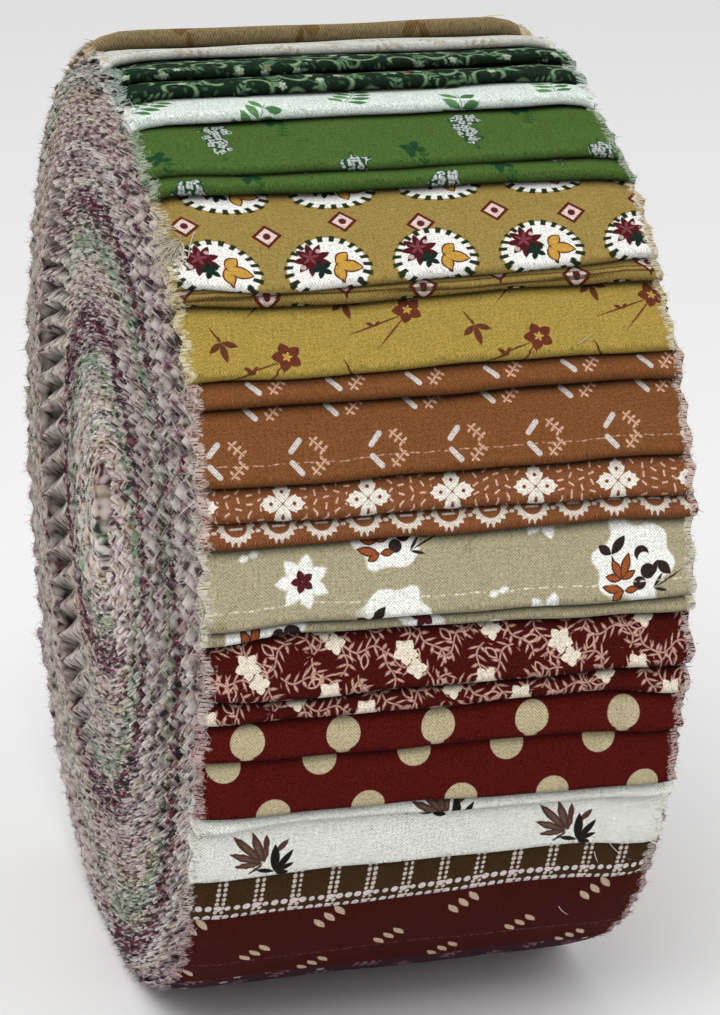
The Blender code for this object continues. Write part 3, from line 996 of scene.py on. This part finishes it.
def paint_mustard(draw, u, v):
    for x, y in ((-28.1, 9.6), (-18.2, 8.2)):
        p, q = at(u, v, 19.9, 12.7, x, y, drop=0.0)
        kite = abs(p) + abs(q) * 1.06
        draw("5E211B", 1.95 - kite)
        draw("D8C4BA", 1.36 - kite)
        draw("5B2028", dot(p, q, 0.5))
    q, p, _, _ = cells(v + 3.05, u + 32.1, 12.7, 13.87, -0.22)
    oval = reach(p / 5.3, (q + p * p * 0.03) / 3.9)
    angle = (q * 1.36).math("ARCTAN2", p)
    draw("E9E8E2", (1.0 - oval) * 4.0)
    dash = (0.24 - abs((angle * (21.0 / TURN)).fraction() - 0.5)) * 1.35
    draw("22301A", dash.least((0.115 - abs(oval - 0.955)) * 4.2))
    flower = bloom(p + 1.8, q - 0.8, 9, 2.5, 0.5).most(dot(p + 1.8, q - 0.8, 1.3))
    draw("4E141A", flower)
    draw("8A4A50", bloom(p + 2.0, q - 1.2, 5, 1.2, 0.2, 0.5), share=0.7)
    draw("14281F", bloom(p + 0.8, q + 0.7, 5, 1.45, 0.4).most(dot(p + 0.8, q + 0.7, 0.62)))
    draw("B9A59C", dot(p + 3.1, q + 0.2, 0.36).most(dot(p + 0.9, q - 2.0, 0.3)))
    lobes = fronds(p - 1.0, q + 0.2, ((0.75, 2.4, 0.85), (-0.25, 3.6, 0.95), (-1.25, 2.6, 0.85)))
    draw("5E2A1C", lobes)
    draw("BF9440", lobes - 0.24)
    # Dark lines along the cloth's folds near its end: painted shade in its creases.
    for place, half in ((-4.75, 0.14), (-4.05, 0.1)):
        away = abs(v - place + (u * 0.14).sine() * 0.25)
        draw("3E2C10", half - away, 0.16, share=0.85)


def paint_gold(draw, u, v):
    brown = "5E3420"
    p, q = at(u, v, 16.0, 10.4, -25.9, 4.8)
    twig = ((-1.40, 2.9, 0.46), (-2.38, 2.1, 0.44), (-0.30, 2.2, 0.44), (2.05, 2.6, 0.13), (1.95, 1.0, 0.2))
    draw(brown, fronds(p, q, twig))
    p, q = at(u, v, 16.0, 10.4, 30.0, 7.9)
    stems = fronds(p, q + 0.4, ((3.45, 9.0, 0.13), (3.95, 6.6, 0.13)))
    buds = fronds(p + 4.4, q + 2.0, ((2.6, 1.3, 0.26), (0.9, 1.0, 0.24)))
    draw(brown, stems.most(buds))
    draw("64301F", bloom(p, q, 5, 2.0, 0.72))
    draw("B79A4C", bloom(p, q, 5, 0.7, 0.16, 0.6))


def paint_rust_ring(draw, u, v):
    p, q = at(u, v, 5.0, 14.0, -27.0, 3.3)
    upper = abs(q) - 1.35
    bars = bar(*spun(p + 1.5, upper, 0.86), 0.85, 0.34)
    along, across = spun(p - 1.25, upper, -0.8)
    twig = sprig(across, along, 2.5, 0.82, 0.3, 0.78, 0.19, 0.11)
    draw("C6BEB8", bars)
    draw("C9A088", twig)
    crease_line(draw, u, v, 2.5, "C9A48C", 0.75)


def paint_rust_scroll(draw, u, v):
    p, q = at(u, v, 10.62, 9.6, -20.9, 2.1, drop=0.0)
    along, across, away = rays(p, q, 4, TURN / 8.0)
    radius = reach(p, q)
    teeth = abs((away * 11.0).sine()) * (radius * 0.13)
    petals = leaf(along, across, 0.12, 2.75, 1.15) - teeth
    a, b, _ = at_random(u, v, 1.35, 1.1, 13.0)
    ticks = bar(a, b, 0.3, 0.11).least(radius - 2.7).least(2.6 - abs(q))
    draw("D2AD98", ticks)
    draw("DED8CC", petals)
    draw("7A3A1C", dot(along - 1.45, across, 0.24))
    p, q = at(u, v, 5.31, 9.6, -21.5, 9.0, drop=0.0)
    radius = reach(p, q * 1.05)
    angle = q.math("ARCTAN2", p)
    spikes = abs((angle * (17.0 / TURN)).fraction() - 0.5) * 0.9
    swag = (spikes + 1.95 - radius).least(radius - 1.4).least(0.2 - q)
    posts = bar(abs(p) - 2.55, q + 0.7, 0.0, 0.2).most(bar(p, q + 0.35, 0.7, 0.12))
    draw("D2C8BA", swag.most(posts))


def paint_beige(draw, u, v):
    ink = "2C2220"
    p, q = at(u, v, 31.0, 13.0, 23.2, 4.9)
    patch = 4.7 - reach(p, q * 0.9) + wobble(u * 0.7, v * 0.7, 0.45)
    p2, q2 = at(u, v, 31.0, 13.0, -19.0, 5.0)
    burst = bloom(p2, q2, 7, 3.4, 0.9).most(dot(p2, q2, 1.3))
    p3, q3 = at(u, v, 31.0, 13.0, -25.4, 8.8)
    drops = bloom(p3, q3, 2, 1.3, 0.42, 1.3)
    draw("E8E8E2", patch.most(burst).most(drops), 0.4)
    draw("4E1A20", bloom(p2, q2, 5, 1.5, 0.5))
    draw(ink, fronds(p + 2.9, q - 1.0, ((0.85, 2.9, 0.62), (2.5, 2.0, 0.6), (-1.3, 1.4, 0.14))))
    bitten = dot(p - 1.0, q - 0.9, 0.95).least(reach(p - 1.3, q - 0.2) - 0.8)
    berries = bitten.most(dot(p - 1.7, q + 1.3, 0.95))
    pods = fronds(p - 2.9, q + 0.1, ((-0.75, 2.6, 0.68), (-1.9, 2.0, 0.4))).most(dot(p - 0.6, q + 2.7, 0.85))
    tendril = fronds(p - 2.4, q + 3.4, ((0.45, 4.6, 0.13), (0.95, 2.2, 0.22), (-0.25, 2.0, 0.22)))
    draw(ink, berries.most(pods).most(tendril))
    clumps = fronds(p + 1.7, q + 2.1, ((0.5, 2.1, 0.5), (1.25, 3.4, 0.62), (2.0, 2.8, 0.6), (2.9, 2.2, 0.55)))
    clumps = clumps.most(fronds(p + 1.4, q + 3.5, ((0.1, 1.9, 0.5), (2.9, 3.0, 0.62), (3.6, 1.8, 0.5))))
    draw("45231A", clumps)
    draw("96502C", clumps - 0.2)
    p, q = at(u, v, 31.0, 13.0, -28.6, 2.2, -0.9)
    draw("8B8562", fronds(p, q + 1.6, ((1.57, 3.6, 0.16), (0.8, 1.4, 0.3))), 0.2, share=0.8)
    crease_line(draw, u, v, 2.4, "DAD6C2", 0.8, 0.1)


def paint_burgundy(draw, u, v):
    pink = "C9A090"
    for seed, across, along in ((15.0, 0.0, 0.0), (15.6, 2.9, 2.4)):
        p, q, _ = at_random(u + across, v + along, 5.6, 5.2, seed)
        coral = sprig(p + (q * 1.3).sine() * 0.5, q, 5.2, 1.05, 0.5, 1.25, 0.12, 0.08)
        draw(pink, coral, 0.2)
    pod = leaf(p - 0.4, q, 0.0, 2.0, 0.55)
    draw(pink, 0.1 - abs(pod - 0.1), 0.14)
    p, q = at(u, v, 9.9, 8.0, -26.1, 4.6, 0.3)
    draw("DCD2BE", bloom(p, q, 5, 1.7, 0.6))
    p, q = at(u, v, 9.9, 8.0, -24.9, 2.5, 0.9)
    draw("DCD2BE", bloom(p, q, 4, 1.35, 0.55))


def paint_brick_dot(draw, u, v):
    p, q = at(u, v, 6.05, 14.4, -26.0, 2.9)
    draw("B2A584", dot(p, q * 0.96, 2.15))


def paint_cream(draw, u, v):
    p, q = at(u, v, 20.0, 13.0, -23.0, 2.7)
    big = ((2.32, 6.4, 0.62), (1.93, 5.2, 0.62), (2.72, 5.2, 0.6), (3.14, 4.0, 0.55), (1.52, 3.4, 0.5))
    feather = fronds(p, q, (*big, (-2.5, 2.6, 0.3))) - abs((u * 3.3 + v * 2.1).sine()) * 0.1
    draw("46302A", feather)
    draw("7E6050", feather - 0.3, 0.3, share=0.5)
    draw("50362E", frond(p - 0.2, q - 1.7, 1.62, 2.5, 0.42).most(frond(p - 1.4, q - 1.4, 0.85, 2.4, 0.44)))
    black = ((1.62, 4.3, 0.62), (0.98, 3.9, 0.5), (0.45, 2.7, 0.42), (2.85, 2.6, 0.4), (-0.2, 1.9, 0.4))
    draw("1C1816", fronds(p - 1.5, q + 1.6, black))


def paint_brown_check(draw, u, v):
    p, q, column, row = cells(u + 28.512, v, 0.81, 0.81, 0.0)
    pairs = dot(p, q * 0.8, 0.2) + toss(column, row, 18.0) * 0.1
    draw("C4BAAE", pairs.least(1.4 - (column / 6.0).fraction() * 6.0))
    for place in (0.9, 2.7):
        p, q, column, _ = cells(u + 43.011, v + (4.86 - place), 1.215, 9.72, 0.0)
        draw("CFC4C4", dot(p, q * 0.9, 0.36) + toss(column, 0.0, place) * 0.14)


def paint_maroon(draw, u, v):
    p, q = at(u, v, 9.08, 15.2, -30.0, 18.0)
    low, middle, high = [frond(p + 1.1 + 1.15 * k, q - 1.2 + 1.4 * k, -0.95, 2.9, 0.5) for k in (-1, 0, 1)]
    draw("BFA78E", low.most(middle).most(high))
    crease_line(draw, u, v, 7.6, "7C4448", 0.7, 0.14)


def paint_mauve(draw, u, v):
    p, q, _ = at_random(u, v, 4.2, 4.0, 20.0)
    draw("6E4F5C", bloom(p, q, 5, 1.0, 0.3))
    draw("D9C8C8", dot(p - 1.3, q, 0.22))


def paint_plum(draw, u, v):
    p, q, _ = at_random(u, v, 6.0, 5.6, 21.0)
    draw("7C5C64", sprig(p, q, 3.6, 1.2, 0.7, 1.3, 0.26))
    draw("A8958C", bloom(p - 2.2, q, 5, 0.7, 0.24))


# For each print: the cloth's own colour, the colours of its frayed yarn, most of it and here and there,
# that of the yarn ends along its shown edges, and what paints its motifs.
PRINTS = {
    "rose": ("A87E7A", "B9A3A0", "8E5A62", "D3C2BC", paint_rose),
    "sage": ("858F76", "A3AA98", "6F8468", "C9CDBD", paint_sage),
    "oat": ("B3A88C", "C2B9A6", "9A8C70", "D8D0BE", paint_oat),
    "tan": ("A08C66", "B4A68E", "8C7656", "CDBFA6", paint_tan),
    "white_motif": ("D0D2C8", "CFC9C0", "A9A294", "E2DED6", paint_white_motif),
    "dark_green": ("15291A", "8E9C90", "3F6450", "B9C8BE", paint_dark_green),
    "white_sprig": ("D7E2DB", "CFCCC4", "9FAA9A", "E4E6E0", paint_white_sprig),
    "green": ("49642D", "9CA592", "587A52", "B4BFAE", paint_green),
    "mustard": ("978045", "BDB09A", "9C8350", "D6D0BC", paint_mustard),
    "gold": ("A18941", "C2B79A", "A3904C", "DAD6BE", paint_gold),
    "rust_ring": ("784A29", "B5A096", "8C5540", "D6CAC2", paint_rust_ring),
    "rust_scroll": ("7D4C2E", "B7A29A", "8E5844", "D8CCC4", paint_rust_scroll),
    "beige": ("A39A7D", "BEB6A4", "9A9274", "D6D2C6", paint_beige),
    "burgundy": ("420B08", "A48C90", "6E2A34", "D6C6C0", paint_burgundy),
    "brick_dot": ("4C0D08", "A88E90", "7E3034", "D0B9B4", paint_brick_dot),
    "cream": ("D9DBD3", "CBC6BC", "A6A094", "E0DED6", paint_cream),
    "brown_check": ("3A2814", "9C8E86", "5E4A3A", "D2C6C0", paint_brown_check),
    "maroon": ("3E0F09", "9A8286", "66303A", "C9B4B2", paint_maroon),
    "mauve": ("8E7A82", "A8989E", "6E5864", "C4B6BA", paint_mauve),
    "plum": ("3A212B", "978890", "503644", "B4A2AA", paint_plum),
}

WEAVE_PITCH = 0.2
WEAVE_DEPTH = 0.035
CLOTH_ROUGHNESS = 0.9
YARN_ROUGHNESS = 0.95
SPECULAR = 0.05
# Pale yarn, which on the printed cloth also stands in for painted highlights.
PALE_YARN_AND_HIGHLIGHT = "E6DED8"
# Dark yarn, which also stands in for painted shade in the gaps between the layers.
DARK_YARN_AND_GAP_SHADE = "2E1E26"
FRAY_GREEN = "769672"


def uv_map(tree, name):
    return add_node(tree, "UVMap", {}, uv_map=name).outputs[0]


def split(tree, vector):
    """The three numbers of a vector."""
    node = add_node(tree, "SeparateXYZ", {0: vector})
    return [Value(tree, socket) for socket in node.outputs]


def mark(tree, name, output="Fac"):
    """A number, or a vector, from one of the mesh's attributes."""
    return Value(tree, add_node(tree, "Attribute", {}, attribute_name=name).outputs[output])


def noise(tree, vector, scale, detail=2.0, stretch=None):
    if stretch is not None:
        vector = add_node(tree, "Mapping", {"Vector": vector, "Scale": stretch}).outputs[0]
    node = add_node(tree, "TexNoise", {"Vector": vector, "Scale": scale, "Detail": detail})
    return Value(tree, node.outputs["Fac"])


def darken(paint, value):
    """Darken what is painted by a value."""
    grey = add_node(paint.tree, "CombineColor", {0: value, 1: value, 2: value})
    paint.put(1.0, grey.outputs[0], "MULTIPLY")


def frayed(tree, yarn, speck):
    """Colour of loose yarn: the print's own, specked with other ends and gathered in bands, with painted
    shade between the teeth.
    """
    place = uv_map(tree, "yarn")
    dark, green, even = split(tree, mark(tree, "tint", "Vector"))
    fine = noise(tree, place, 1.15, 0.0, (0.6, 0.55, 1.0))
    other = noise(tree, place, 0.85, 1.0, (0.6, 0.4, 3.0))
    wide = noise(tree, place, 0.12, 1.0)
    paint = Paint(tree, tone(yarn))
    paint.draw("A68E98", wide - 0.5, 0.16, share=0.6)
    paint.draw(speck, 0.43 - other, 0.12, share=0.7)
    paint.put(even * 0.7, tone("A4968C"))
    paint.put(green * 0.3, tone(FRAY_GREEN))
    paint.put(dark * 0.55, tone("5C434E"))
    paint.draw(PALE_YARN_AND_HIGHLIGHT, fine - 0.53 - dark * 0.06, 0.2, share=0.66)
    paint.draw(FRAY_GREEN, green * 0.26 + 0.24 - other, 0.1, share=0.8)
    # Dark yarn specks, partly painted shade in the gaps between the layers.
    paint.draw(DARK_YARN_AND_GAP_SHADE, dark * 0.17 - even * 0.1 + 0.38 - fine, 0.12, share=0.88)
    paint.draw("82344A", dark * 0.18 + other - 0.71, 0.08, share=0.75)
    # Painted shade in the hollows between the teeth, lighter near the core.
    darken(paint, 1.0 - mark(tree, "hollow_shade") * 0.85)
    return paint


def new_material(name, roughness):
    material = bpy.data.materials.new(name)
    material.use_nodes = True
    shader = material.node_tree.nodes["Principled BSDF"]
    shader.inputs["Roughness"].default_value = roughness
    shader.inputs["Specular IOR Level"].default_value = SPECULAR
    return material, shader, material.node_tree


def print_material(name):
    ground, yarn, speck, fringe, design = PRINTS[name]
    material, shader, tree = new_material(name, CLOTH_ROUGHNESS)
    place = uv_map(tree, "cloth")
    u, v, _ = split(tree, place)
    paint = Paint(tree, tone(ground))
    design(paint.draw, u, v)
    weave = (u * (math.pi / WEAVE_PITCH)).sine() * (v * (math.pi / WEAVE_PITCH)).sine()
    slubs = noise(tree, place, 1.0, 1.0, (4.5, 0.4, 1.0)) + noise(tree, place, 1.0, 1.0, (0.4, 4.5, 1.0))
    mottle = noise(tree, place, 0.35, 2.0)
    grain = noise(tree, place, 4.2, 0.0) * 0.6 + noise(tree, place, 2.4, 0.0, (1.0, 1.3, 1.0)) * 0.4
    # Pale yarn specks, which also serve as painted highlights on the weave.
    paint.draw(PALE_YARN_AND_HIGHLIGHT, weave * 0.5 + grain - 0.7, 0.3, share=0.008)
    # Painted shadow below the fold of the strip above and round each fold, least deep on pale cloth (least is
    # its darkest value), multiplied with the uneven tone of the weave, slubs and grain.
    unshaded = ((mark(tree, "fold_shadow_distance") * (1.0 / CREASE_SHADE)).clamped() * 1.3 - 0.12).clamped()
    least = 0.08 + 0.42 * max(tone(ground)[:3])
    shadow = unshaded * (1.6 - unshaded * 0.6) * (1.0 - least) + least
    uneven = weave * 0.3 + (slubs - 1.0) * 0.35 + (grain - 0.5) * 1.1 + (mottle - 0.5) * 0.2 + 0.97
    darken(paint, uneven * shadow)
    rim = mark(tree, "rim")
    ragged = noise(tree, place, 1.6, 2.0)
    strands = noise(tree, place, 1.0, 1.0, (0.8, 5.0, 1.0))
    edge = Paint(tree, tone(ground))
    edge.draw(fringe, strands - 0.46, 0.14, share=0.7)
    # Dark strands on the cut edge, partly painted shade between the layers.
    edge.draw(DARK_YARN_AND_GAP_SHADE, 0.36 - strands, 0.08, share=0.6)
    # Frayed yarn, with its painted shade between the teeth, laid over the rim and the wound-in cloth.
    worn = frayed(tree, yarn, speck)
    worn.put(shape(0.995 - rim, 0.01), edge.colour)
    paint.put(shape(rim + (ragged - 0.5) * 1.1 + (mottle - 0.5) * 0.6 - 0.6, 0.25), worn.colour)
    tree.links.new(paint.colour, shader.inputs["Base Color"])
    relief = {"Height": weave * 0.5 + slubs * 1.2, "Strength": 1.0, "Distance": WEAVE_DEPTH * MM}
    tree.links.new(add_node(tree, "Bump", relief).outputs[0], shader.inputs["Normal"])
    return material


def thread_material(name):
    _, yarn, speck, fringe, _ = PRINTS[name]
    material, shader, tree = new_material(name + "_threads", YARN_ROUGHNESS)
    paint = frayed(tree, yarn, speck)
    pale = shape(noise(tree, uv_map(tree, "yarn"), 2.6, 0.0) - 0.4, 0.2)
    paint.put(mark(tree, "shown") * pale * 0.9, tone(fringe))
    tree.links.new(paint.colour, shader.inputs["Base Color"])
    return material


def floor_material():
    material, shader, tree = new_material("floor", CLOTH_ROUGHNESS)
    place = tree.nodes.new("ShaderNodeTexCoord").outputs["Object"]
    paint = Paint(tree, tone("FDFDFD"))
    paint.put(noise(tree, place, 3.0) * 0.3, tone("F6F6F6"))
    tree.links.new(paint.colour, shader.inputs["Base Color"])
    return material


cloths = {name: print_material(name) for name in PRINTS}
yarns = {name: thread_material(name) for name in PRINTS}

strips = [Strip(number) for number in range(1, COUNT + 1)]
for number, strip in enumerate(strips, 1):
    strip.above = strips[number - 2]
    name = "strip_%02d" % number
    yarn_place = np.array([0.0, YARN_STEP * number])
    places = {"cloth": strip.design, "yarn": yarn_place}
    piece = make_piece(name, strip_mesh(strip), cloths[strip.print], places)
    threads = make_piece(name + "_threads", thread_mesh(strip), yarns[strip.print], {"yarn": yarn_place})
    for made in (piece, threads):
        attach(made, "root")
    if number == 1:
        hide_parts("roll_body", "strip_end_01")
    else:
        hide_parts("strip_end_%02d" % number)

floor_mesh = bpy.data.meshes.new("floor")
floor_corners = [(FLOOR_REACH * x, FLOOR_REACH * y, 0.0) for x, y in ((-1, -1), (1, -1), (1, 1), (-1, 1))]
floor_mesh.from_pydata(floor_corners, [], [(0, 1, 2, 3)])
floor_mesh.materials.append(floor_material())
floor = add_object("floor", floor_mesh)

for name, (location, size, energy) in LIGHTS.items():
    data = bpy.data.lights.new(name, "AREA")
    data.size = size
    data.energy = energy
    light = add_object(name, data)
    light.location = location
    light.rotation_euler = (LIGHT_TARGET - Vector(location)).to_track_quat("-Z", "Y").to_euler()

back = Vector((
    math.sin(CAMERA_AZIMUTH) * math.cos(CAMERA_ELEVATION),
    -math.cos(CAMERA_AZIMUTH) * math.cos(CAMERA_ELEVATION),
    math.sin(CAMERA_ELEVATION),
))
right = Vector((0.0, 0.0, 1.0)).cross(back).normalized()
aim = AIM_RIGHT * right + AIM_UP * back.cross(right) - back
lens = bpy.data.cameras.new("camera")
lens.lens = CAMERA_LENS
lens.sensor_width = SENSOR_WIDTH
lens.clip_start = 0.01
camera = add_object("camera", lens)
camera.location = back * CAMERA_DISTANCE + Vector((0.0, 0.0, AXIS_HEIGHT * MM))
camera.rotation_euler = aim.to_track_quat("-Z", "Y").to_euler()
bpy.context.scene.camera = camera

world = bpy.data.worlds.new("studio")
world.use_nodes = True
background = world.node_tree.nodes["Background"]
background.inputs["Color"].default_value = (1.0, 1.0, 1.0, 1.0)
background.inputs["Strength"].default_value = WORLD_STRENGTH
bpy.context.scene.world = world
bpy.context.scene.view_settings.view_transform = "Standard"
